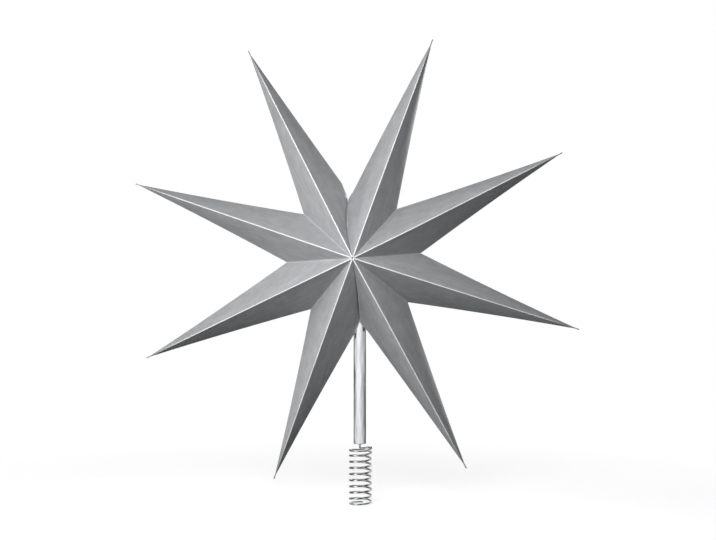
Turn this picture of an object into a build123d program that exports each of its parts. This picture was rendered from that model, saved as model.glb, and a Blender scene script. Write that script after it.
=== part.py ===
from build123d import *
from math import atan2, cos, degrees, hypot, pi, radians, sin, sqrt
import os

os.makedirs("parts", exist_ok=True)

# Paper star: spread of the points, depth at the middle and the card it is folded from
star_span = 300.0
half_depth = 38.0
card = 0.4
glue = 0.04
notch_radius = 43.4
centre_hole = 1.5

# Glued edges: how far the ridge edges run past the folded tip, and the strips inside
edge_reach = 3.2
ridge_strip = 3.0
valley_flange = 8.0

# Where the two halves of the star meet: wider valleys at the top and at the tube
top_seam_angle = 46.5
tube_seam_angle = 48.5
seam_gap = 1.2
top_notch_radius = 39.0
flare_length = 2.5
flare_angle = 14.0
tube_notch_radius = 42.5

# How the star sits on its tube
star_rise = 9.7
star_aside = -3.0
star_forward = 3.5
star_lean_angle = 3.9

# Steel tube, the bush in its lower end and the card thimble inside the star
tube_diameter = 8.0
tube_wall = 0.6
tube_length = 110.0
rim_break = 0.15
bush_length = 10.0
bush_recess = 0.5
thimble_wall = 0.6
thimble_cap = 1.2
thimble_cover = 1.2
turning_fit = 0.05
tube_mouth_gap = 0.3

# Coil spring that slips over the top shoot of the tree, in round wire drawn with six flats
wire_diameter = 1.2
wire_sides = 6
coil_diameter = 14.5
coil_pitch = 3.96
turn_gap = 0.08
coil_start_angle = 80.0
flat_start_angle = 100.0
opening_angle = 126.0
open_turns = 8.16
closing_angle = 340.0
curve_step_angle = 30.0
shank_bend = 2.0
shank_grip = 8.0
shank_fit = 0.05
neck_gap = 3.2

# Hook and loop patches that close the top seam
patch_side = 7.0

tip_radius = star_span / 2
fold_tip = tip_radius - edge_reach
point_angle = (360 - top_seam_angle - tube_seam_angle) / 6
top_seam_turn = 90 + star_lean_angle
tube_bore = tube_diameter - 2 * tube_wall
coil_radius = (coil_diameter - wire_diameter) / 2


def sheet(corners):
    return Face(Wire.make_polygon([Vector(*c) for c in corners], close=True))


def upright(corners, half_height):
    # prism that stands across the star from front to back
    base = sheet([(x, y, -half_height) for x, y in corners])
    return extrude(base, amount=2 * half_height, dir=(0, 0, 1))


def chevron(reach, out, inward):
    # V-shaped strip along the folds from the front apex to the reach and on to the back apex
    fold = hypot(reach, half_depth)

    def shifted(amount):
        return reach + amount * fold / half_depth, half_depth + amount * fold / reach

    x_out, z_out = shifted(out)
    x_in, z_in = shifted(-inward)
    corners = [(0, z_out), (x_out, 0), (0, -z_out), (0, -z_in), (x_in, 0), (0, z_in)]
    return sheet([(x, 0, z) for x, z in corners])


def leaf(half_angle, notch, valley_gap):
    # one folded leaf: ridge plane along X, front towards +Z, valley half_angle round from the ridge
    across = Vector(-sin(radians(half_angle)), cos(radians(half_angle)), 0)
    along = Vector(cos(radians(half_angle)), sin(radians(half_angle)), 0)
    tip = Vector(fold_tip, 0, 0)
    inner_corner = along * notch
    body = None
    for apex_z in (half_depth, -half_depth):
        apex = Vector(0, 0, apex_z)
        normal = (tip - apex).cross(inner_corner - apex).normalized()
        if normal.Y > 0:
            normal = normal * -1
        panel = extrude(sheet([apex, inner_corner, tip]), amount=card, dir=normal)
        body = panel if body is None else body + panel
    fin = edge_reach * half_depth / hypot(fold_tip, half_depth)
    body += extrude(chevron(fold_tip, fin, ridge_strip), amount=glue / 2 + card, dir=(0, 1, 0))
    flange = Rot(0, 0, half_angle) * chevron(notch, 0, valley_flange)
    body += extrude(flange, amount=valley_gap / 2 + card, dir=across * -1)
    # trim to the wedge that the leaf has for itself
    step = (glue / 2 + valley_gap / 2 * cos(radians(half_angle))) / sin(radians(half_angle))
    corner = across * (-valley_gap / 2) + along * step
    far = across * (-valley_gap / 2) + along * star_span
    wedge = [(corner.X, glue / 2), (star_span, glue / 2), (far.X, far.Y)]
    body &= upright(wedge, star_span / 2)
    return body - Cylinder(centre_hole, star_span)


def flared(body, half_angle):
    # the seam stands open beside the notch
    start = Vector(top_notch_radius - flare_length, -seam_gap / 2, 0).rotate(Axis.Z, half_angle)
    reach = Vector(star_span / 2, 0, 0)
    near = start + reach.rotate(Axis.Z, half_angle - flare_angle)
    beyond = start + reach.rotate(Axis.Z, half_angle + flare_angle)
    opening = upright([(p.X, p.Y) for p in (start, near, beyond)], star_span / 2)
    return body - opening


def in_star(shape, turn):
    # from the flat drawing of a leaf to its place in the standing star
    centre = Pos(star_aside, -star_forward, star_height)
    return centre * Rot(90, 0, 0) * Rot(0, 0, turn) * shape


# Spring wire: flat start, opening turn, open turns, closing turn, flat end, then in and up
slow_angle = flat_start_angle + opening_angle + 360 * open_turns
# the flat end stops where the turn below it is one wire and a gap away
flat_end_angle = 360 - sqrt(2 * closing_angle * 360 * (wire_diameter + turn_gap) / coil_pitch)
last_angle = slow_angle + closing_angle + flat_end_angle


def eased(angle, length):
    # angle gained while the pitch grows evenly from nothing over this length
    if angle <= 0:
        return 0
    if angle < length:
        return angle * angle / length / 2
    return angle - length / 2


def coil_point(angle):
    risen = eased(angle - flat_start_angle, opening_angle) - eased(angle - slow_angle, closing_angle)
    turned = radians(coil_start_angle + angle)
    return Vector(
        coil_radius * cos(turned),
        coil_radius * sin(turned),
        wire_diameter / 2 + coil_pitch * risen / 360,
    )


def heading(angle):
    return Vector(0, 1, 0).rotate(Axis.Z, coil_start_angle + angle)


steps = round(last_angle / curve_step_angle)
coil = Spline(
    [coil_point(last_angle * i / steps) for i in range(steps + 1)],
    tangents=[heading(0), heading(last_angle)],
    tangent_scalars=[1, 1],
)
coil_end = coil_point(last_angle)
tube_bottom = coil_end.Z + wire_diameter / 2 + neck_gap
tuck = (coil_radius**2 - shank_bend**2) / (2 * coil_radius)
outward = Vector(coil_end.X, coil_end.Y, 0).normalized()
hub = coil_end - outward * tuck
swept = 180 - degrees(atan2(shank_bend, tuck))
middle = hub + (outward * tuck).rotate(Axis.Z, swept / 2)
inner = hub + (outward * tuck).rotate(Axis.Z, swept)
inwards = Vector(-inner.X, -inner.Y, 0).normalized()
knee = inner + Vector(0, 0, shank_bend)
elbow = knee + (inwards * sin(pi / 4) - Vector(0, 0, cos(pi / 4))) * shank_bend
foot = knee + inwards * shank_bend
crown = Vector(0, 0, tube_bottom + bush_recess + shank_grip)
path = Wire([
    coil.edge(),
    Edge.make_three_point_arc(coil_end, middle, inner),
    Edge.make_three_point_arc(inner, elbow, foot),
    Edge.make_line(foot, crown),
])
wire_end = Plane(origin=coil_point(0), z_dir=heading(0))
wire_section = RegularPolygon(wire_diameter / 2, wire_sides, rotation=180 / wire_sides)
spring = sweep(wire_end * wire_section, path=path, is_frenet=True)

# Tube that stands over the shank, with the outer edges broken
tube_top = tube_bottom + tube_length
star_height = tube_top + star_rise
tube = Cylinder(tube_diameter / 2, tube_length) - Cylinder(tube_bore / 2, tube_length)
tube = Pos(0, 0, (tube_top + tube_bottom) / 2) * tube
rims = tube.edges().filter_by(GeomType.CIRCLE).sort_by(SortBy.RADIUS)[-2:]
tube = chamfer(rims, rim_break)

# Bush that holds the wire in the middle of the tube
bush = Cylinder(tube_bore / 2 - glue / 2, bush_length) - Cylinder(
    wire_diameter / 2 + shank_fit, bush_length
)
bush = Pos(0, 0, tube_bottom + bush_recess + bush_length / 2) * bush

# Thimble: closed rolled card sleeve, turns on the tube and rests on its top end. It reaches
# down as far as the rear valley of the lower seam covers it
bore_radius = tube_diameter / 2 + turning_fit
thimble_radius = bore_radius + thimble_wall
covered_depth = star_forward + thimble_radius + thimble_cover
thimble_bottom = star_height - tube_notch_radius * (1 - covered_depth / half_depth)
thimble_length = tube_top + thimble_cap - thimble_bottom
thimble_profile = [
    (bore_radius, thimble_bottom),
    (thimble_radius, thimble_bottom),
    (thimble_radius, tube_top + thimble_cap),
    (0, tube_top + thimble_cap),
    (0, tube_top),
    (bore_radius, tube_top),
]
thimble = revolve(sheet([(r, 0, z) for r, z in thimble_profile]), Axis.Z)

# Room for the tube and the thimble between the two leaves at the lower seam
mouth = Cylinder(
    tube_diameter / 2 + tube_mouth_gap,
    tube_top,
    align=(Align.CENTER, Align.CENTER, Align.MIN),
)
thimble_seat = Pos(0, 0, thimble_bottom - tube_mouth_gap) * Cylinder(
    thimble_radius + glue / 2,
    thimble_length + 2 * tube_mouth_gap,
    align=(Align.CENTER, Align.CENTER, Align.MIN),
)

closed_leaf = leaf(point_angle / 2, notch_radius, glue)
top_leaf = flared(leaf(top_seam_angle / 2, top_notch_radius, seam_gap), top_seam_angle / 2)
tube_leaf = leaf(tube_seam_angle / 2, tube_notch_radius, seam_gap)

# Points are counted clockwise from the top seam, seen from the front
pieces = {}
turn = top_seam_turn - top_seam_angle / 2
for number in range(1, 9):
    left = closed_leaf
    right = closed_leaf
    if number == 1:
        left = top_leaf
    if number == 4:
        right = tube_leaf
    if number == 5:
        left = tube_leaf
    if number == 8:
        right = top_leaf
    left = in_star(left, turn)
    right = in_star(mirror(right, about=Plane.XZ), turn)
    if number == 4:
        right = right - mouth - thimble_seat
    if number == 5:
        left = left - mouth - thimble_seat
    pieces[f"point_{number}_left_leaf"] = left
    pieces[f"point_{number}_right_leaf"] = right
    turn -= tube_seam_angle if number == 4 else point_angle

# Hook and loop patches on the flanges of the top seam, one pair in front and one behind
valley_run = hypot(top_notch_radius, half_depth)
valley_slope = degrees(atan2(half_depth, top_notch_radius))
inset = valley_flange / 2 + card / 2
patch_height = seam_gap / 2 - glue / 2
patch_x = top_notch_radius / 2 - inset * half_depth / valley_run
patch_z = half_depth / 2 - inset * top_notch_radius / valley_run
for place, front in (("front", 1), ("back", -1)):
    for kind, side in (("hook", 1), ("loop", -1)):
        patch = Rot(0, front * valley_slope, 0) * Box(patch_side, patch_height, patch_side)
        spot = Pos(patch_x, side * (seam_gap - patch_height) / 2, front * patch_z)
        pieces[f"{place}_{kind}_patch"] = in_star(spot * patch, top_seam_turn)

pieces["thimble"] = thimble
pieces["tube"] = tube
pieces["bush"] = bush
pieces["spring"] = spring

for name, piece in pieces.items():
    export_step(piece, f"parts/{name}.step")
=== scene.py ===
import bmesh
import bpy
import numpy as np
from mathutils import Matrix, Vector


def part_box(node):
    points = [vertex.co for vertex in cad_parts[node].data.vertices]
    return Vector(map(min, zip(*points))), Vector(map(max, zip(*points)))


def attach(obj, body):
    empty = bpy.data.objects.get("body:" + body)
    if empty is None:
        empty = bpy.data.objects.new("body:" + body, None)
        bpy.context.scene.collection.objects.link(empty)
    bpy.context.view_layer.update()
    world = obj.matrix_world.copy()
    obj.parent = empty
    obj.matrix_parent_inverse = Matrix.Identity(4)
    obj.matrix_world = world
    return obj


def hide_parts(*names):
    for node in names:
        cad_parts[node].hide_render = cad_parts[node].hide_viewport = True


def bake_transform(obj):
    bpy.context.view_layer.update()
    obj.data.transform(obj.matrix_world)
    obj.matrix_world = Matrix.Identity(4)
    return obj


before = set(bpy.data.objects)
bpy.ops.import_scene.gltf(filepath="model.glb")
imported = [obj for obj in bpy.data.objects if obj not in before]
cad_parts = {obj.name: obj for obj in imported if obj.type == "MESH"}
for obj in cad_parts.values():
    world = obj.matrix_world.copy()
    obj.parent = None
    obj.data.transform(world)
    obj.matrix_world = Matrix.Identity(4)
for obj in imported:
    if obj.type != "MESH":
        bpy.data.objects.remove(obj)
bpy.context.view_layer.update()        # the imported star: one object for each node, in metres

scene = bpy.context.scene
scene.view_settings.view_transform = "Standard"
mm = 0.001               # pieces are worked out in millimetres
print("frame loaded:", len(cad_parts), "nodes")


def hexColour(code):
    # sRGB hex to linear: a channel is divided by 12.92 near black, else shifted and raised to 2.4
    channel = np.array([int(code[i:i + 2], 16) for i in (1, 3, 5)]) / 255
    linear = np.where(channel < 0.04045, channel / 12.92, ((channel + 0.055) / 1.055) ** 2.4)
    return (*linear.tolist(), 1.0)


def addNode(tree, kind, sockets=None, **settings):
    # settings go to the node itself, and a socket takes a value or the output that feeds it
    node = tree.nodes.new(kind)
    for name, value in settings.items():
        setattr(node, name, value)
    for name, value in (sockets or {}).items():
        if isinstance(value, bpy.types.NodeSocket):
            tree.links.new(value, node.inputs[name])
        else:
            node.inputs[name].default_value = value
    return node


def newMaterial(name):
    material = bpy.data.materials.new(name)
    material.use_nodes = True
    material.node_tree.nodes.clear()
    return material, material.node_tree


silverCard = dict(
    light="#b3b6b8", dark="#9d9d9f",   # the ink lies thick and thin over the pulp, with a faint change of tint
    worn="#d0d0d1",                    # ink rubbed off along a valley fold
    mottle=7.0, fibre=0.9, stroke=1.2, stretch=0.05, wornFrom=0.3, wornTo=1.7)   # mm, stretch is a share


def makeSilverCard():
    # Pulp card rolled all over with matt silver ink: grey with a soft cloudy mottle and faint strokes along
    # the ridge, nearly no gloss, and a pale line where the ink has cracked along a fold
    s = silverCard
    material, tree = newMaterial("silver_printed_card")
    where = addNode(tree, "ShaderNodeTexCoord").outputs["Object"]
    mottle = addNode(tree, "ShaderNodeTexNoise", {
        "Vector": where, "Scale": 1 / (s["mottle"] * mm), "Detail": 4.0, "Roughness": 0.6})
    # real fibres are 0.03 mm wide, drawn at 0.9 mm so that they show
    fibre = addNode(tree, "ShaderNodeTexNoise", {
        "Vector": where, "Scale": 1 / (s["fibre"] * mm), "Detail": 3.0, "Roughness": 0.55})
    # the sheet's own map is in millimetres: along the ridge and across it
    sheet = addNode(tree, "ShaderNodeUVMap", uv_map="sheet").outputs["UV"]
    rolled = addNode(tree, "ShaderNodeMapping", {"Vector": sheet, "Scale": (s["stretch"], 1.0, 1.0)})
    stroke = addNode(tree, "ShaderNodeTexNoise", {
        "Vector": rolled.outputs["Vector"], "Scale": 1 / s["stroke"], "Detail": 3.0, "Roughness": 0.6})
    layered = addNode(tree, "ShaderNodeMath", {
        0: stroke.outputs["Fac"], 1: 0.9, 2: mottle.outputs["Fac"]}, operation="MULTIPLY_ADD")
    cloud = addNode(tree, "ShaderNodeMapRange", {
        "Value": layered.outputs[0], "From Min": 0.62, "From Max": 1.28})
    ink = addNode(tree, "ShaderNodeMix", {
        0: cloud.outputs["Result"], 6: hexColour(s["dark"]), 7: hexColour(s["light"])},
        data_type="RGBA")
    fold = addNode(tree, "ShaderNodeAttribute", attribute_name="foldMm")
    rubbed = addNode(tree, "ShaderNodeMapRange", {
        "Value": fold.outputs["Fac"], "From Min": s["wornFrom"], "From Max": s["wornTo"],
        "To Min": 0.62, "To Max": 0.0}, interpolation_type="SMOOTHSTEP")
    colour = addNode(tree, "ShaderNodeMix", {
        0: rubbed.outputs["Result"], 6: ink.outputs[2], 7: hexColour(s["worn"])},
        data_type="RGBA")
    rough = addNode(tree, "ShaderNodeMapRange", {
        "Value": fibre.outputs["Fac"], "From Min": 0.3, "From Max": 0.7,
        "To Min": 0.52, "To Max": 0.66})
    bump = addNode(tree, "ShaderNodeBump", {
        "Height": fibre.outputs["Fac"], "Strength": 0.12, "Distance": 0.00012})
    shader = addNode(tree, "ShaderNodeBsdfPrincipled", {
        "Base Color": colour.outputs[2], "Roughness": rough.outputs["Result"],
        "Specular IOR Level": 0.16, "Normal": bump.outputs["Normal"]})
    addNode(tree, "ShaderNodeOutputMaterial", {"Surface": shader.outputs["BSDF"]})
    return material


cardCore = dict(light="#fdfdfd", dark="#f4f5f5", pulp=0.6, inked="#8f9193", creepFrom=4.0, creepTo=34)


def makeCardCore():
    # Bleached pulp where the card is cut or left unprinted: chalky white with faint fibre flecks. From creepTo
    # to creepFrom, in mm from the tip, silver ink has crept over the cut edges, so the white line fades out
    s = cardCore
    material, tree = newMaterial("bleached_card_core")
    where = addNode(tree, "ShaderNodeTexCoord").outputs["Object"]
    pulp = addNode(tree, "ShaderNodeTexNoise", {
        "Vector": where, "Scale": 1 / (s["pulp"] * mm), "Detail": 3.0})
    colour = addNode(tree, "ShaderNodeMix", {
        0: pulp.outputs["Fac"], 6: hexColour(s["dark"]), 7: hexColour(s["light"])},
        data_type="RGBA")
    tip = addNode(tree, "ShaderNodeAttribute", attribute_name="tipMm")
    crept = addNode(tree, "ShaderNodeMapRange", {
        "Value": tip.outputs["Fac"], "From Min": s["creepFrom"], "From Max": s["creepTo"],
        "To Min": 0.85, "To Max": 0.0}, interpolation_type="SMOOTHSTEP")
    inked = addNode(tree, "ShaderNodeMix", {
        0: crept.outputs["Result"], 6: colour.outputs[2], 7: hexColour(s["inked"])},
        data_type="RGBA")
    bump = addNode(tree, "ShaderNodeBump", {
        "Height": pulp.outputs["Fac"], "Strength": 0.15, "Distance": 0.0001})
    shader = addNode(tree, "ShaderNodeBsdfPrincipled", {
        "Base Color": inked.outputs[2], "Roughness": 0.85, "Specular IOR Level": 0.3,
        "Normal": bump.outputs["Normal"]})
    addNode(tree, "ShaderNodeOutputMaterial", {"Surface": shader.outputs["BSDF"]})
    return material


rolledCard = dict(light="#c9b28c", dark="#b39a72", layer=0.5)


def makeRolledCard():
    # Brown board wound into a sleeve: warm tan with fine bands across the winding
    s = rolledCard
    material, tree = newMaterial("wound_brown_board")
    where = addNode(tree, "ShaderNodeTexCoord").outputs["Object"]
    stretched = addNode(tree, "ShaderNodeMapping", {
        "Vector": where, "Scale": (0.12, 0.12, 1.0)})
    band = addNode(tree, "ShaderNodeTexNoise", {
        "Vector": stretched.outputs["Vector"], "Scale": 1 / (s["layer"] * mm), "Detail": 3.0})
    colour = addNode(tree, "ShaderNodeMix", {
        0: band.outputs["Fac"], 6: hexColour(s["dark"]), 7: hexColour(s["light"])},
        data_type="RGBA")
    bump = addNode(tree, "ShaderNodeBump", {
        "Height": band.outputs["Fac"], "Strength": 0.3, "Distance": 0.0001})
    shader = addNode(tree, "ShaderNodeBsdfPrincipled", {
        "Base Color": colour.outputs[2], "Roughness": 0.8, "Normal": bump.outputs["Normal"]})
    addNode(tree, "ShaderNodeOutputMaterial", {"Surface": shader.outputs["BSDF"]})
    return material


hookNylon = dict(light="#f0f0ec", dark="#c4c4be", spacing=1.0)
loopNylon = dict(light="#eeeeea", dark="#d2d2cc", tangle=0.7)


def makeHookNylon():
    # Woven nylon tape with rows of stiff hooks: milky white, each hook a small bright dot
    s = hookNylon
    material, tree = newMaterial("woven_nylon_hooks")
    where = addNode(tree, "ShaderNodeTexCoord").outputs["Object"]
    rows = addNode(tree, "ShaderNodeTexVoronoi", {
        "Vector": where, "Scale": 1 / (s["spacing"] * mm), "Randomness": 0.25})
    dot = addNode(tree, "ShaderNodeMapRange", {
        "Value": rows.outputs["Distance"], "From Min": 0.15, "From Max": 0.45,
        "To Min": 1.0, "To Max": 0.0})
    colour = addNode(tree, "ShaderNodeMix", {
        0: dot.outputs["Result"], 6: hexColour(s["dark"]), 7: hexColour(s["light"])},
        data_type="RGBA")
    bump = addNode(tree, "ShaderNodeBump", {
        "Height": dot.outputs["Result"], "Strength": 0.7, "Distance": 0.0004})
    shader = addNode(tree, "ShaderNodeBsdfPrincipled", {
        "Base Color": colour.outputs[2], "Roughness": 0.45, "Normal": bump.outputs["Normal"]})
    addNode(tree, "ShaderNodeOutputMaterial", {"Surface": shader.outputs["BSDF"]})
    return material


def makeLoopNylon():
    # Brushed nylon pile: soft white fuzz of tangled loops, no gloss
    s = loopNylon
    material, tree = newMaterial("brushed_nylon_loops")
    where = addNode(tree, "ShaderNodeTexCoord").outputs["Object"]
    pile = addNode(tree, "ShaderNodeTexNoise", {
        "Vector": where, "Scale": 1 / (s["tangle"] * mm), "Detail": 6.0, "Distortion": 1.5})
    colour = addNode(tree, "ShaderNodeMix", {
        0: pile.outputs["Fac"], 6: hexColour(s["dark"]), 7: hexColour(s["light"])},
        data_type="RGBA")
    bump = addNode(tree, "ShaderNodeBump", {
        "Height": pile.outputs["Fac"], "Strength": 0.8, "Distance": 0.0005})
    shader = addNode(tree, "ShaderNodeBsdfPrincipled", {
        "Base Color": colour.outputs[2], "Roughness": 0.95, "Sheen Weight": 0.3,
        "Normal": bump.outputs["Normal"]})
    addNode(tree, "ShaderNodeOutputMaterial", {"Surface": shader.outputs["BSDF"]})
    return material


drawnSteel = dict(light="#e2e3e5", dark="#cfd0d3", line=0.5, stretch=0.012, wave=4.0, long=0.25)


def makeDrawnSteel():
    # Steel tube drawn through a die and polished: mirror bright, with faint lines along its length
    # that smear reflections sideways. The thin wall isn't quite even, so they waver
    s = drawnSteel
    material, tree = newMaterial("bright_drawn_steel")
    where = addNode(tree, "ShaderNodeTexCoord").outputs["Object"]
    stretched = addNode(tree, "ShaderNodeMapping", {
        "Vector": where, "Scale": (1.0, 1.0, s["stretch"])})
    # real draw lines are 0.02 mm apart, drawn at 0.5 mm so that they show
    line = addNode(tree, "ShaderNodeTexNoise", {
        "Vector": stretched.outputs["Vector"], "Scale": 1 / (s["line"] * mm), "Detail": 4.0})
    colour = addNode(tree, "ShaderNodeMix", {
        0: line.outputs["Fac"], 6: hexColour(s["dark"]), 7: hexColour(s["light"])},
        data_type="RGBA")
    rough = addNode(tree, "ShaderNodeMapRange", {
        "Value": line.outputs["Fac"], "From Min": 0.3, "From Max": 0.7,
        "To Min": 0.10, "To Max": 0.20})
    drawn = addNode(tree, "ShaderNodeMapping", {"Vector": where, "Scale": (1.0, 1.0, s["long"])})
    wave = addNode(tree, "ShaderNodeTexNoise", {
        "Vector": drawn.outputs["Vector"], "Scale": 1 / (s["wave"] * mm), "Detail": 1.0})
    uneven = addNode(tree, "ShaderNodeBump", {
        "Height": wave.outputs["Fac"], "Strength": 1.0, "Distance": 0.0016})
    bump = addNode(tree, "ShaderNodeBump", {
        "Height": line.outputs["Fac"], "Strength": 0.05, "Distance": 0.00005,
        "Normal": uneven.outputs["Normal"]})
    shader = addNode(tree, "ShaderNodeBsdfPrincipled", {
        "Base Color": colour.outputs[2], "Metallic": 1.0, "Roughness": rough.outputs["Result"],
        "Normal": bump.outputs["Normal"]})
    addNode(tree, "ShaderNodeOutputMaterial", {"Surface": shader.outputs["BSDF"]})
    return material


springWire = dict(light="#d0d1d2", dark="#bdbebf", line=0.35, stretch=0.02)


def makeSpringWire():
    # Hard drawn spring wire, oiled and bright: darker than the tube, streaked along the wire
    s = springWire
    material, tree = newMaterial("hard_drawn_spring_wire")
    where = addNode(tree, "ShaderNodeUVMap", uv_map="wire").outputs["UV"]
    stretched = addNode(tree, "ShaderNodeMapping", {
        "Vector": where, "Scale": (1.0, s["stretch"], 1.0)})
    # the map is in millimetres: around the wire and along it
    streak = addNode(tree, "ShaderNodeTexNoise", {
        "Vector": stretched.outputs["Vector"], "Scale": 1 / s["line"], "Detail": 4.0})
    colour = addNode(tree, "ShaderNodeMix", {
        0: streak.outputs["Fac"], 6: hexColour(s["dark"]), 7: hexColour(s["light"])},
        data_type="RGBA")
    rough = addNode(tree, "ShaderNodeMapRange", {
        "Value": streak.outputs["Fac"], "From Min": 0.3, "From Max": 0.7,
        "To Min": 0.06, "To Max": 0.14})
    shader = addNode(tree, "ShaderNodeBsdfPrincipled", {
        "Base Color": colour.outputs[2], "Metallic": 1.0, "Roughness": rough.outputs["Result"]})
    addNode(tree, "ShaderNodeOutputMaterial", {"Surface": shader.outputs["BSDF"]})
    return material


bushPlastic = dict(light="#4a4b4d", dark="#3e3f41", spark=0.25)


def makeBushPlastic():
    # Moulded polyethylene: dark grey, waxy, with the fine spark texture of its mould
    s = bushPlastic
    material, tree = newMaterial("moulded_polyethylene")
    where = addNode(tree, "ShaderNodeTexCoord").outputs["Object"]
    spark = addNode(tree, "ShaderNodeTexNoise", {
        "Vector": where, "Scale": 1 / (s["spark"] * mm), "Detail": 2.0})
    colour = addNode(tree, "ShaderNodeMix", {
        0: spark.outputs["Fac"], 6: hexColour(s["dark"]), 7: hexColour(s["light"])},
        data_type="RGBA")
    bump = addNode(tree, "ShaderNodeBump", {
        "Height": spark.outputs["Fac"], "Strength": 0.25, "Distance": 0.00005})
    shader = addNode(tree, "ShaderNodeBsdfPrincipled", {
        "Base Color": colour.outputs[2], "Roughness": 0.5, "IOR": 1.51,
        "Normal": bump.outputs["Normal"]})
    addNode(tree, "ShaderNodeOutputMaterial", {"Surface": shader.outputs["BSDF"]})
    return material


silver, core, board = makeSilverCard(), makeCardCore(), makeRolledCard()
hooks, loops = makeHookNylon(), makeLoopNylon()
steel, wireSteel, plastic = makeDrawnSteel(), makeSpringWire(), makeBushPlastic()
print("materials made")


def gridFaces(rows, columns, flip=False):
    # quads between neighbouring rows and columns of a grid, turned round where the sheet is mirrored
    a = np.arange(rows - 1)[:, None] * columns + np.arange(columns - 1)[None, :]
    quads = np.stack([a, a + 1, a + columns + 1, a + columns], axis=-1).reshape(-1, 4)
    return quads[:, ::-1] if flip else quads


def addPiece(name, grids, materials, values=None, uvMap=None, crease=None):
    # grids are (points in mm, flip); they are laid end to end, and points that meet are merged
    points, faces, start = [], [], 0
    for grid, flip in grids:
        rows, columns = grid.shape[:2]
        points.append(grid.reshape(-1, 3))
        faces.append(gridFaces(rows, columns, flip) + start)
        start += rows * columns
    mesh = bpy.data.meshes.new(name)
    mesh.from_pydata(np.concatenate(points) * mm, [], np.concatenate(faces).tolist())
    for key, value in (values or {}).items():
        layer = mesh.attributes.new(key, "FLOAT", "POINT")
        layer.data.foreach_set("value", np.concatenate([v.ravel() for v in value]).astype(np.float32))
    if uvMap is not None:
        corner = np.empty(len(mesh.loops), dtype=np.int32)
        mesh.loops.foreach_get("vertex_index", corner)
        layer = mesh.uv_layers.new(name=uvMap[0])
        layer.data.foreach_set("uv", uvMap[1].reshape(-1, 2)[corner].astype(np.float32).ravel())
    work = bmesh.new()
    work.from_mesh(mesh)
    bmesh.ops.remove_doubles(work, verts=work.verts, dist=0.004 * mm)
    bmesh.ops.dissolve_degenerate(work, edges=work.edges, dist=0.001 * mm)
    work.to_mesh(mesh)
    work.free()
    mesh.shade_smooth()
    if crease is not None:
        mesh.set_sharp_from_angle(angle=np.radians(crease))
    for material in materials:
        mesh.materials.append(material)
    piece = bpy.data.objects.new(name, mesh)
    scene.collection.objects.link(piece)
    return piece


tubeLow, tubeHigh = (np.array(corner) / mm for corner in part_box("tube"))
tubeRadius = (tubeHigh[0] - tubeLow[0]) / 2
star = dict(
    rise=9.7, aside=-3.0, forward=3.5,               # middle of the star from the tube's end, mm
    lean=3.9,                                        # degrees to the left
    reach=150.0, edgeReach=1.0, halfDepth=38.0,      # cut ridge edges and folded tips, depth at the middle
    notch=43.4, hole=0.5, topSeam=46.5, tubeSeam=48.5,
    card=0.32, glue=0.04, flange=8.0, flangeStart=2.2, seamGap=1.24, mouthGap=0.45, rideGap=0.1,
    flangeNotch=0.93,                                # share of the notch to which a seam's flanges run
    hem=0.9, hemGap=2.1,                             # edge folded back, and how many cards behind it lies
    tuck=1.6, tuckRun=0.15,                          # edge under the next leaf, and the share it comes in over
    tuckStop=0.04, hemStop=0.05, curlStop=0.07,      # shares of the side crease where these edges run out
    bow=0.55, ridgeBow=2.0,                          # panels crown, ridges stand proud
    bowLeast=0.7, bowSpread=0.6,                     # shares of the bow, from the flattest leaf to the fullest
    crownPower=0.8, curlPower=1.4, rowPower=1.3,
    rollStep=(31, 170),                              # mm between the leaves' places on the printed roll
    notchShare=0.3, rowsIn=36, rowsOut=64, flangeRows=12, columns=20)
starHeight = tubeHigh[2] + star["rise"]
pointAngle = (360 - star["topSeam"] - star["tubeSeam"]) / 6
foldTip = star["reach"] - star["edgeReach"]

# The two seams don't run straight: their line bows sideways by bow and ends beside the notch by end, mm, and
# a leaf that goes on past the notch draws away by beyond for each millimetre. The flanges stop clear of the
# middle plane, with a value for the front and one for the back
seams = {
    "top": dict(bow=2.1, end=1.0, notch=37.9, beyond=0.02, clear=(0.3, 0.3)),
    "tube": dict(bow=0.6, end=1.1, notch=41.3, beyond=0.0, clear=(1.6, 8.6))}
# Leaves beside a seam: past is 1 where the leaf reaches over the seam's middle and -1 where it falls short.
# One edge is hemmed, lies in front and curls out a little. The other curls in and goes on under it, down to
# tuckEnd of the valley. curl and the strip it takes, curlWidth, are in mm, and so is hollow, by which a
# leaf's side crease draws in
closedLeaf = dict(
    angle=pointAngle, notch=star["notch"], seam=None, edge="flange",
    past=0, hollow=0.5, curl=0, curlWidth=1)
topRight = dict(
    angle=star["topSeam"], notch=seams["top"]["notch"], seam="top", edge="hem",
    past=1, hollow=-0.5, curl=-0.7, curlWidth=11)
topLeft = dict(
    angle=star["topSeam"], notch=42.0, seam="top", edge="tuck", tuckEnd=0.93,
    past=-1, hollow=0.2, curl=1.8, curlWidth=6)
tubeRight = dict(
    angle=star["tubeSeam"], notch=seams["tube"]["notch"], seam="tube", edge="hem",
    past=-1, hollow=0.1, curl=-0.8, curlWidth=10)
tubeLeft = dict(
    angle=star["tubeSeam"], notch=seams["tube"]["notch"], seam="tube", edge="tuck", tuckEnd=1.12,
    past=1, hollow=0.5, curl=1.6, curlWidth=7)
noFold = 99.0            # mm, further from a worn fold than its line reaches

# folding by hand leaves each tip a little off its even place: to its left and outwards, mm
tipDrift = {1: (-0.6, -1.2), 2: (1.2, -1.2), 3: (0.2, 0.6), 4: (-0.5, 2.6),
            5: (0.4, 1.4), 6: (0.2, -0.6), 7: (-0.1, -0.4), 8: (0.3, 0)}
# and each glued valley: turned anticlockwise, degrees, and outwards, mm
valleyDrift = {1: (1.1, -1.9), 2: (0, -1.0), 3: (0, 0.8), 5: (1.5, 0), 6: (0, 0.5)}


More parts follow.
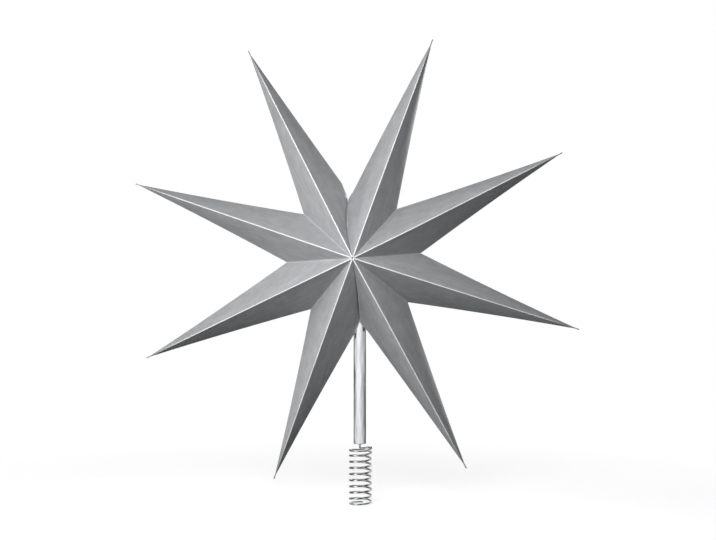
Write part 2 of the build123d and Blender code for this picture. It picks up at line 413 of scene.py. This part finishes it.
def standUp(points, turn, side, face, drift):
    # flat leaf to standing star: add the drift, which grows evenly from the notch to the tip, mirror by
    # side and face, turn about the middle and stand it up
    out = np.clip((points[..., 0] - star["notch"]) / (star["reach"] - star["notch"]), 0, 1)
    x = points[..., 0] + drift[1] * out
    y = side * points[..., 1] + drift[0] * out
    z = face * points[..., 2]
    angle = np.radians(turn)
    return np.stack([
        star["aside"] + x * np.cos(angle) - y * np.sin(angle),
        -star["forward"] - z,
        starHeight + x * np.sin(angle) + y * np.cos(angle)], axis=-1)


def overTube(points, layers):
    # card that would run into the tube rides over it: drawn forward to a circle round the tube, with room
    # for the sheets that lie there
    reach = tubeRadius + star["rideGap"] + layers * star["card"]
    front = -np.sqrt(np.maximum(reach ** 2 - points[..., 0] ** 2, 0))
    return np.stack([points[..., 0], np.minimum(points[..., 1], front), points[..., 2]], axis=-1)


def mouthLimit(foot, outer, turn, side, face, most):
    # share of each row that stays clear of the tube: seen from above a row is a straight line, and
    # the limit is where it enters the circle round the tube, the smaller root of a quadratic
    near = standUp(foot, turn, side, face, (0, 0))[:, :2]
    far = standUp(outer, turn, side, face, (0, 0))[:, :2]
    step = far - near
    a = (step ** 2).sum(1)
    b = 2 * (near * step).sum(1)
    c = (near ** 2).sum(1) - (tubeRadius + star["mouthGap"]) ** 2
    inside = b ** 2 - 4 * a * c
    root = (-b - np.sqrt(np.maximum(inside, 0))) / (2 * a)
    return np.where((inside > 0) & (root > 0), np.minimum(root, most), most)[:, None]


def leafSide(shape, turn, side, face, drift, bow):
    # One side of a leaf in its flat frame: x out along the ridge, y across to the valley, z to the eye.
    # Rows run from the middle to the tip and columns from the cut ridge edge over the fold to the outer
    # edge, which follows the valley down to the notch and then the side crease out to the tip. A panel
    # point is the straight line from ridge fold to outer edge, bowed along the panel's normal.
    half = np.radians(shape["angle"] / 2)
    along = np.array([np.cos(half), np.sin(half), 0])
    across = np.array([-np.sin(half), np.cos(half), 0])
    up = np.array([0.0, 0.0, 1.0])
    depth, notch, hole = star["halfDepth"], shape["notch"], star["hole"]
    share = star["notchShare"]
    outward = np.linspace(0, 1, star["rowsOut"])[1:] ** star["rowPower"]
    s = np.concatenate([np.linspace(0, share, star["rowsIn"]), share + outward * (1 - share)])[:, None]
    t = np.clip(s / share, 0, 1)                     # share of the valley
    q = np.clip((s - share) / (1 - share), 0, 1)     # share of the side crease

    lift = star["glue"] / 2 + star["card"]
    ridge = hole / foldTip + (1 - hole / foldTip) * s
    line = ridge * [foldTip, 0, 0] + (1 - ridge) * [0, 0, depth]
    line = line + star["ridgeBow"] * 4 * ridge * (1 - ridge) * [0, 0, 1]
    corner = along * notch
    end = corner + (1 - lift / corner[1]) * (np.array([foldTip, 0, 0]) - corner)
    foot = line * end[0] / foldTip + [0, lift, 0]
    edge = line * star["reach"] / foldTip + [0, lift, 0]

    radius = hole + (notch - hole) * t
    valleyShift = -star["glue"] / 2
    if shape["seam"]:
        seam = seams[shape["seam"]]
        down = np.minimum(radius / seam["notch"], 1)
        valleyShift = shape["past"] * (seam["bow"] * np.sin(np.pi * down) + seam["end"] * down
                                       + seam["beyond"] * np.maximum(radius - seam["notch"], 0))
    valley = along * radius + up * depth * (1 - radius / notch) + across * valleyShift
    outer = valley + q * (end - valley[-1])
    outer[:, 1:2] -= shape["hollow"] * 4 * q * (1 - q)
    span = outer - foot
    width = np.linalg.norm(span, axis=1)[:, None]

    v = (0.5 - 0.5 * np.cos(np.pi * np.linspace(0, 1, star["columns"])))[None, :]
    if shape["edge"] == "tuck":
        under = star["tuck"] * np.clip(t / star["tuckRun"], 0, 1)
        under = under * np.clip((shape["tuckEnd"] - t) / star["tuckRun"], 0, 1)
        under = under * np.clip(1 - q / star["tuckStop"], 0, 1)
        v = v * (1 + under / np.maximum(width, 0.5))                # never nothing, it divides
    if shape["seam"] == "tube" and face < 0:
        v = np.minimum(v, mouthLimit(foot, outer, turn, side, face, v.max()))
    panel = foot[:, None] + v[..., None] * span[:, None]
    normal = np.cross([foldTip, 0, -depth], corner - [0, 0, depth])
    normal = normal / np.linalg.norm(normal)
    crown = bow * 4 * v * (1 - v) * np.sin(np.pi * s) ** star["crownPower"]
    strip = shape["curlWidth"] * np.maximum(t, 0.05)                # never nothing either
    inFold = np.clip(1 - (1 - v) * width / strip, 0, 1) ** star["curlPower"]
    roll = shape["curl"] * inFold * t * np.clip(1 - q / star["curlStop"], 0, 1)
    panel = panel + (crown - roll)[..., None] * normal
    sheet = np.concatenate([edge[:, None], panel], axis=1)

    # distance from the valley fold, for the worn line
    fold = np.where((q > 0) | (shape["edge"] == "tuck"), noFold, np.abs(1 - v) * width)
    fold = np.concatenate([np.full((len(s), 1), noFold), fold], axis=1)
    if shape["edge"] == "hem":
        # the edge is folded back behind the panel, with room for the card itself
        back = -star["hem"] * span / np.maximum(width, star["hem"]) - star["hemGap"] * star["card"] * normal
        hem = panel[:, -1] + back * np.clip(1 - q / star["hemStop"], 0, 1)
        sheet = np.concatenate([sheet, hem[:, None]], axis=1)
        fold = np.concatenate([fold, fold[:, -1:]], axis=1)

    run = np.hypot(notch, depth)
    inward = -(depth * along + notch * up) / run
    if shape["seam"] is None:
        # flange glued to the next leaf: from the valley straight in, mitred at the middle plane
        rows = star["rowsIn"]
        reach = np.minimum(valley[:rows, 2:] * run / notch, (radius[:rows] - hole) * run / depth)
        inner = valley[:rows] + np.clip(reach, 0, star["flange"]) * inward
        flange = np.stack([valley[:rows], inner], axis=1)
    else:
        # flange behind the seam, which carries the patches or holds the thimble
        clear = seam["clear"][0 if face > 0 else 1]
        nominal = star["notch"] * star["flangeNotch"]
        stop = nominal * (1 - (clear + star["flange"] * nominal / run) / depth)
        place = np.linspace(star["flange"], stop, star["flangeRows"])[:, None]
        top = along * place + up * depth * (1 - place / nominal) - across * star["seamGap"] / 2
        flange = np.stack([top + inward * star["flangeStart"], top + inward * star["flange"]], axis=1)
    flip = side * face > 0
    foldFlange = np.full(flange.shape[:2], noFold)
    foldFlange[:, 0] = 0 if shape["seam"] is None else noFold
    stood = standUp(sheet, turn, side, face, drift)
    if shape["seam"] == "tube" and face > 0:
        stood = overTube(stood, 2 if shape["edge"] == "hem" else 1)
    return ([(stood, flip), (standUp(flange, turn, side, face, drift), flip)], [fold, foldFlange],
            [sheet[..., :2], flange[..., :2]])


turn = 90 + star["lean"] - star["topSeam"] / 2
for number in range(1, 9):
    for side, sideName in ((1, "left"), (-1, "right")):
        shape = {(1, 1): topRight, (8, -1): topLeft, (4, -1): tubeRight, (5, 1): tubeLeft}.get(
            (number, side), closedLeaf)
        swing, out = valleyDrift.get(number - 1 if side > 0 else number, (0, 0))
        shape = dict(shape, angle=shape["angle"] + 2 * side * swing, notch=shape["notch"] + out)
        uneven = (number * 5 + (side > 0) * 3) % 8   # 0 to 7, and a point's two leaves differ
        bow = star["bow"] * (star["bowLeast"] + star["bowSpread"] * uneven / 7)
        front, frontFold, frontFlat = leafSide(shape, turn, side, 1, tipDrift[number], bow)
        back, backFold, backFlat = leafSide(shape, turn, side, -1, tipDrift[number], bow)
        tip = [star["reach"] - part[..., 0] for part in frontFlat + backFlat]
        flat = np.concatenate([part.reshape(-1, 2) for part in frontFlat + backFlat])
        flat = flat + np.array(star["rollStep"]) * [number, side]
        leaf = addPiece(f"card_leaf_{number}_{sideName}", front + back, [silver, core],
                        {"foldMm": frontFold + backFold, "tipMm": tip}, uvMap=("sheet", flat), crease=14)
        wall = leaf.modifiers.new("card", "SOLIDIFY")
        wall.thickness = star["card"] * mm
        wall.offset = -1
        wall.material_offset = 1
        wall.material_offset_rim = 1
        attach(leaf, "star")
        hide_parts(f"point_{number}_{sideName}_leaf")
    turn -= star["tubeSeam"] if number == 4 else pointAngle
print("star folded: 16 leaves")


spring = dict(
    wire=1.35, diameter=15.2, pitch=3.96, aside=0.5,             # mm; the coil sits a little to the right
    start=80, flatStart=100, opening=126, turns=8.16,            # degrees along the coil, turns at full pitch
    closing=340, flatEnd=27, parting=70,
    climb=1.2, dip=0.7,                                          # the end climbs, then dips to the shank
    bend=2.0, grip=8.5, endRound=0.12,
    step=6, arcSteps=24, bendSteps=12, shankSteps=14, sides=20)


def eased(angle, length):
    # angle gained while the pitch grows evenly from nothing over this length, then stays
    grown = np.clip(angle, 0, length)
    return grown ** 2 / length / 2 + np.maximum(angle - length, 0)


def wirePath():
    # a helix whose pitch opens and closes, an arc that turns in to the axis, a bend up and the shank;
    # returns the middle line, with the way ahead and the way sideways at each of its points
    c = spring
    radius = (c["diameter"] - c["wire"]) / 2
    slow = c["flatStart"] + c["opening"] + 360 * c["turns"]
    last = slow + c["closing"] + c["flatEnd"]
    angle = np.linspace(0, last, int(last / c["step"]))
    risen = eased(angle - c["flatStart"], c["opening"]) - eased(angle - slow, c["closing"])
    parted = np.clip((angle - last + c["parting"]) / c["parting"], 0, 1)
    climb = c["climb"] * parted ** 2 * (3 - 2 * parted)
    bearing = np.radians(c["start"] + angle)
    coil = np.stack([radius * np.cos(bearing), radius * np.sin(bearing),
                     c["wire"] / 2 + c["pitch"] * risen / 360 + climb], axis=1)

    tuck = (radius ** 2 - c["bend"] ** 2) / (2 * radius)
    outward = bearing[-1]
    hub = coil[-1] - tuck * np.array([np.cos(outward), np.sin(outward), 0])
    swept = np.pi - np.arctan2(c["bend"], tuck)
    done = np.linspace(0, 1, c["arcSteps"])[1:]
    around = outward + swept * done
    arc = hub + tuck * np.stack([np.cos(around), np.sin(around), 0 * around], axis=1)
    arc[:, 2] -= c["dip"] * (0.5 - 0.5 * np.cos(np.pi * done))

    inwards = -arc[-1] / np.hypot(arc[-1, 0], arc[-1, 1]) * [1, 1, 0]
    lift = np.linspace(0, np.pi / 2, c["bendSteps"])[1:, None]
    knee = arc[-1] + c["bend"] * (np.sin(lift) * inwards + (1 - np.cos(lift)) * [0, 0, 1])
    height = np.linspace(knee[-1, 2], tubeLow[2] + c["grip"], c["shankSteps"])[1:]
    shank = np.stack([0 * height, 0 * height, height], axis=1)

    path = np.concatenate([coil, arc, knee, shank])
    flat = len(coil) + len(arc)
    path[:, 0] += c["aside"] * np.interp(np.arange(len(path)), [len(coil), flat], [1, 0])
    heading = np.gradient(path, axis=0)
    sideways = np.cross(heading, [0, 0, 1])
    sideways[flat:] = np.cross(inwards, [0, 0, 1])   # one direction all along the bend and the shank
    sideways = sideways / np.linalg.norm(sideways, axis=1)[:, None]
    return path, heading / np.linalg.norm(heading, axis=1)[:, None], sideways


def wireGrid():
    # a circle carried along the middle line, with cut ends whose edges are rounded
    path, heading, sideways = wirePath()
    radius = spring["wire"] / 2
    count = 4
    rounding = np.linspace(0, np.pi / 2, count)[:, None]
    end = spring["endRound"]
    early = path[0] + heading[0] * end * (1 - np.cos(rounding))
    late = path[-1] - heading[-1] * end * (1 - np.cos(rounding[::-1]))
    grow = radius - end + end * np.sin(rounding[:, 0])
    line = np.concatenate([path[:1], early, path[1:-1], late, path[-1:]])
    size = np.concatenate([[0], grow, np.full(len(path) - 2, radius), grow[::-1], [0]])
    pick = np.concatenate([np.zeros(count + 1, int), np.arange(1, len(path) - 1),
                           np.full(count + 1, len(path) - 1)])
    across, over = sideways[pick], np.cross(heading[pick], sideways[pick])
    around = np.linspace(0, 2 * np.pi, spring["sides"] + 1)[None, :, None]
    grid = line[:, None] + size[:, None, None] * (
        np.cos(around) * across[:, None] + np.sin(around) * over[:, None])
    travelled = np.concatenate([[0], np.cumsum(np.linalg.norm(np.diff(line, axis=0), axis=1))])
    uv = np.stack(np.broadcast_arrays(radius * around[..., 0], travelled[:, None]), axis=-1)
    return grid, uv


wireSurface, wireUv = wireGrid()
coilPiece = addPiece("coil_spring", [(wireSurface, True)], [wireSteel], uvMap=("wire", wireUv), crease=50)
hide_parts("spring")
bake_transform(coilPiece)
print("spring wound")


tube = dict(
    wall=0.6, rim=0.15, roll=0.42, sides=96,
    bushLength=10.0, bushRecess=0.5, bushGap=0.02, wireBore=0.72, bushBevel=0.3, bushLead=0.5, bushTop=0.2)


def turned(profile, sides):
    # a closed profile of (radius, height) turned about the upright axis
    radius, height = np.array(profile + profile[:1]).T
    around = np.linspace(0, 2 * np.pi, sides + 1)[:, None]
    return np.stack(np.broadcast_arrays(
        radius * np.cos(around), radius * np.sin(around), height), axis=-1)


outside, inside, rim, roll = tubeRadius, tubeRadius - tube["wall"], tube["rim"], tube["roll"]
low, high = tubeLow[2], tubeHigh[2]
bent = np.radians([0, 30, 60, 90])                   # the cutter rolled the lower edge in
tubeProfile = [(outside, low + 1.5 * roll)] + list(
    zip(outside - roll * (1 - np.cos(bent)), low + roll * (1 - np.sin(bent)))) + [
    (inside + 0.5 * rim, low), (inside, low + 0.5 * rim), (inside, low + 2 * rim),
    (inside, high - 1.5 * rim), (inside, high - rim), (inside + rim, high),
    (outside - rim, high), (outside, high - rim), (outside, high - 1.5 * rim)]
stem = addPiece("steel_tube", [(turned(tubeProfile, tube["sides"]), False)], [steel], crease=35)
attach(stem, "stem")
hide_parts("tube")

bushOut, bushIn = inside - tube["bushGap"], tube["wireBore"]
bushLow = low + tube["bushRecess"]
bushHigh = bushLow + tube["bushLength"]
bevel, lead, top = tube["bushBevel"], tube["bushLead"], tube["bushTop"]
bushProfile = [
    (bushOut, bushLow + bevel), (bushOut - bevel, bushLow), (bushIn + lead, bushLow),
    (bushIn, bushLow + lead), (bushIn, bushHigh - top), (bushIn + top, bushHigh),
    (bushOut - bevel, bushHigh), (bushOut, bushHigh - bevel)]
bush = addPiece("wire_bush", [(turned(bushProfile, tube["sides"]), False)], [plastic], crease=35)
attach(bush, "stem")
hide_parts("bush")

for node, material in (
        ("thimble", board), ("front_hook_patch", hooks), ("back_hook_patch", hooks),
        ("front_loop_patch", loops), ("back_loop_patch", loops)):
    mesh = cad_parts[node].data
    mesh.materials.clear()
    mesh.materials.append(material)
print("tube and bush turned")


view = dict(
    azimuth=2.13, elevation=0.30, distance=1.0, target=(-0.00117, 0.0, 0.1514),   # degrees and metres
    lens=77.97, sensor=36)                                                        # mm
light = dict(
    skyGrey=0.068, floorGrey=0.09, floorGlow=0.53, paper="#f2f2f2",
    floorHalf=4000, floorDrop=0.05,                  # mm
    shadowNear=0.12, shadowFar=0.36)                 # m, the shadow fades to plain white from near to far
# soft lamps: direction from the star, distance, size across and power
lamps = {
    "left_softbox": dict(direction=(-0.965, -0.215, 0.08), distance=1.2, size=0.8, power=5.94),
    "front_left_softbox": dict(direction=(-0.45, -0.87, 0.2), distance=0.7, size=0.4, power=2.09),
    "front_softbox": dict(direction=(0.0, -0.85, 0.5), distance=0.9, size=0.6, power=1.28),
    "close_softbox": dict(direction=(-0.05, -0.95, 0.28), distance=0.24, size=0.13, power=0.29),
    "back_softbox": dict(direction=(0.40, 0.90, 0.10), distance=1.4, size=0.25, power=12.2)}
target = Vector(view["target"])

for name, setting in lamps.items():
    lamp = bpy.data.lights.new(name, "AREA")
    lamp.shape = "DISK"
    lamp.size = setting["size"]
    lamp.energy = setting["power"]
    stand = bpy.data.objects.new(name, lamp)
    stand.location = target + Vector(setting["direction"]).normalized() * setting["distance"]
    stand.rotation_euler = (target - stand.location).to_track_quat("-Z", "Y").to_euler()
    stand.visible_camera = False
    scene.collection.objects.link(stand)


def seenDirectly(tree):
    # 1 for rays from the eye, in a mirror or through glass, 0 for the light that falls on things
    ray = addNode(tree, "ShaderNodeLightPath")
    shiny = addNode(tree, "ShaderNodeMath", {
        0: ray.outputs["Is Camera Ray"], 1: ray.outputs["Is Glossy Ray"]}, operation="MAXIMUM")
    return addNode(tree, "ShaderNodeMath", {
        0: shiny.outputs[0], 1: ray.outputs["Is Transmission Ray"]}, operation="MAXIMUM").outputs[0]


def makeFloorPaper():
    # Matt white backdrop paper: white to the eye with the shadow on it, paler with distance
    material, tree = newMaterial("white_backdrop_paper")
    where = addNode(tree, "ShaderNodeTexCoord").outputs["Object"]
    away = addNode(tree, "ShaderNodeVectorMath", {0: where}, operation="LENGTH")
    far = addNode(tree, "ShaderNodeMapRange", {
        "Value": away.outputs["Value"],
        "From Min": light["shadowNear"], "From Max": light["shadowFar"]})
    paper = addNode(tree, "ShaderNodeBsdfDiffuse", {"Color": hexColour(light["paper"])})
    glow = addNode(tree, "ShaderNodeEmission", {"Strength": light["floorGlow"]})
    white = addNode(tree, "ShaderNodeEmission", {"Strength": 1.0})
    near = addNode(tree, "ShaderNodeAddShader", {0: paper.outputs[0], 1: glow.outputs[0]})
    seen = addNode(tree, "ShaderNodeMixShader", {
        0: far.outputs["Result"], 1: near.outputs[0], 2: white.outputs[0]})
    grey = light["floorGrey"]
    dull = addNode(tree, "ShaderNodeBsdfDiffuse", {"Color": (grey, grey, grey, 1)})
    both = addNode(tree, "ShaderNodeMixShader", {
        0: seenDirectly(tree), 1: dull.outputs[0], 2: seen.outputs[0]})
    addNode(tree, "ShaderNodeOutputMaterial", {"Surface": both.outputs[0]})
    material.cycles.emission_sampling = "NONE"
    return material


edge = np.linspace(-light["floorHalf"], light["floorHalf"], 3)
floorX, floorY = np.meshgrid(edge, edge)
floorZ = 0 * floorX - light["floorDrop"]
floor = addPiece("floor", [(np.stack([floorX, floorY, floorZ], axis=-1), False)], [makeFloorPaper()])

world = bpy.data.worlds.new("studio")
scene.world = world
world.use_nodes = True
world.node_tree.nodes.clear()
world.cycles.sampling_method = "NONE"
sky = addNode(world.node_tree, "ShaderNodeBackground", {"Strength": light["skyGrey"]})
backdrop = addNode(world.node_tree, "ShaderNodeBackground", {"Strength": 1.0})
for node in (sky, backdrop):
    node.inputs["Color"].default_value = (1, 1, 1, 1)
both = addNode(world.node_tree, "ShaderNodeMixShader", {
    0: seenDirectly(world.node_tree), 1: sky.outputs[0], 2: backdrop.outputs[0]})
addNode(world.node_tree, "ShaderNodeOutputWorld", {"Surface": both.outputs[0]})


screen = dict(
    profile=((9, 0.1), (110, 0.1), (110, 12), (110, 36),
             (14, 36.5), (14, 37), (14, 80), (6.5, 100), (6.5, 140)),   # radius and height, mm
    columns=121, most=1.3,                           # the drum's floor and lid get no brighter than most
    angle=(-180, -152, -134, -97, -71, -50, -29, -9, 9, 29, 50, 71, 97, 134, 152, 180),
    tube=(1.15, 0.60, 0.02, 0.35, 0.62, 0.98, 1.15, 1.27, 1.02, 0.86, 0.68, 0.55, 0.28, 0.02, 0.25, 1.15),
    spring=(0.60, 0.45, 0.35, 0.08, 0.30, 3.20, 0.30, 0.06, 0.06, 0.60, 0.06, 0.15, 0.90, 0.95, 0.80, 0.60))


def addScreen():
    # studio screen that only reflections show: a low drum about the spring and a sleeve about the tube. Its
    # grey follows the angle, counted from the front towards the right, with a list for each of the two, and
    # has a row for each point of the profile
    angle = np.radians(np.linspace(-180, 180, screen["columns"]))[None, :]
    radius, height = np.array(screen["profile"]).T[:, :, None]
    grid = np.stack(np.broadcast_arrays(
        radius * np.sin(angle), -radius * np.cos(angle), height), axis=-1)
    low, high = (np.interp(np.degrees(angle), screen["angle"], screen[band]) for band in ("spring", "tube"))
    dim = np.minimum(low, screen["most"])
    grey = np.concatenate([dim, dim, low, low, dim, high, high, high, high])
    material, tree = newMaterial("grey_screen")
    shade = addNode(tree, "ShaderNodeAttribute", attribute_name="grey")
    cloth = addNode(tree, "ShaderNodeEmission", {"Strength": shade.outputs["Fac"]})
    addNode(tree, "ShaderNodeOutputMaterial", {"Surface": cloth.outputs[0]})
    material.cycles.emission_sampling = "NONE"       # it lights nothing but the reflections
    piece = addPiece("grey_screen", [(grid, False)], [material], {"grey": [grey]})
    piece.visible_camera = piece.visible_diffuse = False
    piece.visible_shadow = piece.visible_transmission = False
    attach(piece, "stem")                           # it leans with the tube, so the reflections stay in place


addScreen()

azimuth, elevation = np.radians([view["azimuth"], view["elevation"]])
eye = bpy.data.cameras.new("photo_view")
eye.lens = view["lens"]
eye.sensor_width = view["sensor"]
camera = bpy.data.objects.new("photo_view", eye)
camera.location = target + view["distance"] * Vector((
    np.sin(azimuth) * np.cos(elevation), -np.cos(azimuth) * np.cos(elevation), np.sin(elevation)))
camera.rotation_euler = (target - camera.location).to_track_quat("-Z", "Y").to_euler()
scene.collection.objects.link(camera)
scene.camera = camera
print("studio set")
